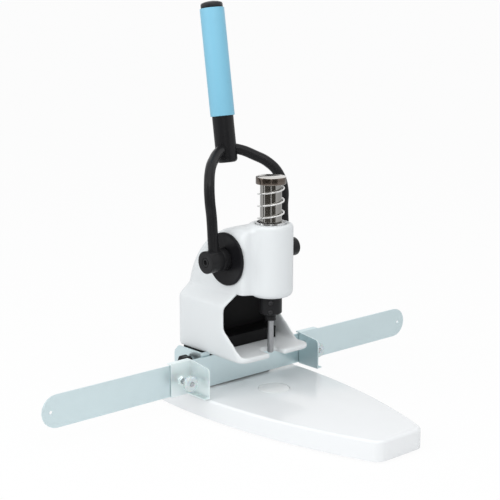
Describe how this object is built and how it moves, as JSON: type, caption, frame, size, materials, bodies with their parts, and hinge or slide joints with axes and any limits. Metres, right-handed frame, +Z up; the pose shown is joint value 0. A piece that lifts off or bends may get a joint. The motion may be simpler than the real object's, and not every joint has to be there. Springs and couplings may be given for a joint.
{
  "type": "paper drill",
  "caption": "Bench paper drill: forked lever lowers a sprung quill with a turning hollow drill onto a mat, with a sliding ruler fence and two position stops",
  "frame": {"origin": "centre of the bounding box at the height of the surface that the feet stand on; the drill axis is 34 mm behind it", "axes": "+X along the ruler, to the right for someone standing at the front; +Y to the back; +Z up"},
  "size_m": [0.458, 0.268, 0.3799],
  "materials": {
    "white_paint": "white gloss paint on a casting",
    "white_moulding": "white glossy moulding",
    "black_casting": "black painted iron casting",
    "black_paint": "satin black paint on steel",
    "black_plastic": "satin black plastic",
    "steel": "ground steel",
    "spring_steel": "bright spring steel",
    "chrome": "polished chrome",
    "bronze": "bearing bronze",
    "zinc_sheet": "zinc plated steel sheet",
    "rubber": "black rubber",
    "blue_grip": "light blue soft grip sleeve",
    "mat_plastic": "white cutting mat plastic",
    "pale_plastic": "translucent white plastic"
  },
  "bodies": {
    "body": {"base": "white_paint", "base_plate": "steel", "foot_front_left": "rubber", "foot_front_right": "rubber", "foot_rear_left": "rubber", "foot_rear_right": "rubber", "frame_bolt_1": "steel", "frame_bolt_2": "steel", "frame_bolt_3": "steel", "frame_bolt_4": "steel", "frame": "black_casting", "housing": "white_moulding", "rear_cover": "white_moulding", "lip_screw_left": "steel", "lip_screw_right": "steel", "spring_cup": "steel", "quill_bush_upper": "bronze", "quill_bush_lower": "bronze", "shaft_bush_left": "bronze", "shaft_bush_right": "bronze", "guide_pin": "steel", "guide_screw": "steel", "quill_spring": "spring_steel"},
    "mat": {"cutting_mat": "mat_plastic"},
    "lever": {"cross_shaft": "steel", "pinion": "steel", "pinion_key": "steel", "fork": "black_paint", "hub_left": "black_paint", "hub_right": "black_paint", "hub_screw_left": "black_paint", "hub_screw_right": "black_paint", "side_disc_left": "black_plastic", "side_disc_right": "black_plastic", "grip_tube": "black_paint", "grip_sleeve": "blue_grip", "end_cap": "black_plastic"},
    "quill": {"quill": "chrome", "quill_cap": "chrome"},
    "spindle": {"spindle": "steel", "thrust_washer": "bronze", "retaining_ring": "spring_steel", "chuck": "black_paint", "set_screw_lower": "steel", "set_screw_upper": "steel", "hollow_drill": "steel"},
    "fence": {"ruler": "zinc_sheet", "carriage_arm_left": "zinc_sheet", "carriage_arm_right": "zinc_sheet"},
    "knob": {"ruler_knob": "black_plastic", "knob_screw": "steel", "knob_washer": "steel"},
    "stop_left": {"stop_left": "zinc_sheet"},
    "stop_right": {"stop_right": "zinc_sheet"},
    "thumb_left": {"stop_screw_left": "steel", "stop_thumb_left": "pale_plastic"},
    "thumb_right": {"stop_screw_right": "steel", "stop_thumb_right": "pale_plastic"}
  },
  "joints": [
    {"name": "lever_pull", "type": "hinge", "parent": "body", "child": "lever", "pos_m": [0, 0.0587, 0.1464], "axis": [1, 0, 0], "range_deg": [0, 123.05]},
    {"name": "quill_feed", "type": "slide", "parent": "body", "child": "quill", "axis": [0, 0, -1], "range_m": [0, 0.0349], "stiffness_N_per_m": 1100, "springref_m": -0.012, "deforming": ["quill_spring"]},
    {"name": "spindle_turn", "type": "hinge", "parent": "quill", "child": "spindle", "pos_m": [0, 0.034, 0.1135], "axis": [0, 0, -1], "range_deg": [0, 360]},
    {"name": "fence_slide", "type": "slide", "parent": "body", "child": "fence", "axis": [0, 1, 0], "range_m": [-0.016, 0.005]},
    {"name": "fence_knob", "type": "hinge", "parent": "body", "child": "knob", "pos_m": [-0.0525, 0.089, 0.0425], "axis": [-1, 0, 0], "range_deg": [0, 360]},
    {"name": "stop_left_slide", "type": "slide", "parent": "fence", "child": "stop_left", "axis": [-1, 0, 0], "range_m": [-0.012, 0.12]},
    {"name": "stop_right_slide", "type": "slide", "parent": "fence", "child": "stop_right", "axis": [1, 0, 0], "range_m": [-0.012, 0.12]},
    {"name": "stop_left_thumb", "type": "hinge", "parent": "stop_left", "child": "thumb_left", "pos_m": [-0.0785, 0.07, 0.035], "axis": [0, -1, 0], "range_deg": [0, 360]},
    {"name": "stop_right_thumb", "type": "hinge", "parent": "stop_right", "child": "thumb_right", "pos_m": [0.085, 0.07, 0.035], "axis": [0, -1, 0], "range_deg": [0, 360]},
    {"name": "mat_turn", "type": "hinge", "parent": "body", "child": "mat", "pos_m": [0.002, 0.031, 0.0178], "axis": [0, 0, 1], "continuous": true}
  ],
  "couplings": [
    {"joint": "quill_feed", "follows": "lever_pull", "m_per_rad": 0.01625},
    {"joint": "spindle_turn", "follows": "lever_pull", "ratio": 2.9255}
  ]
}
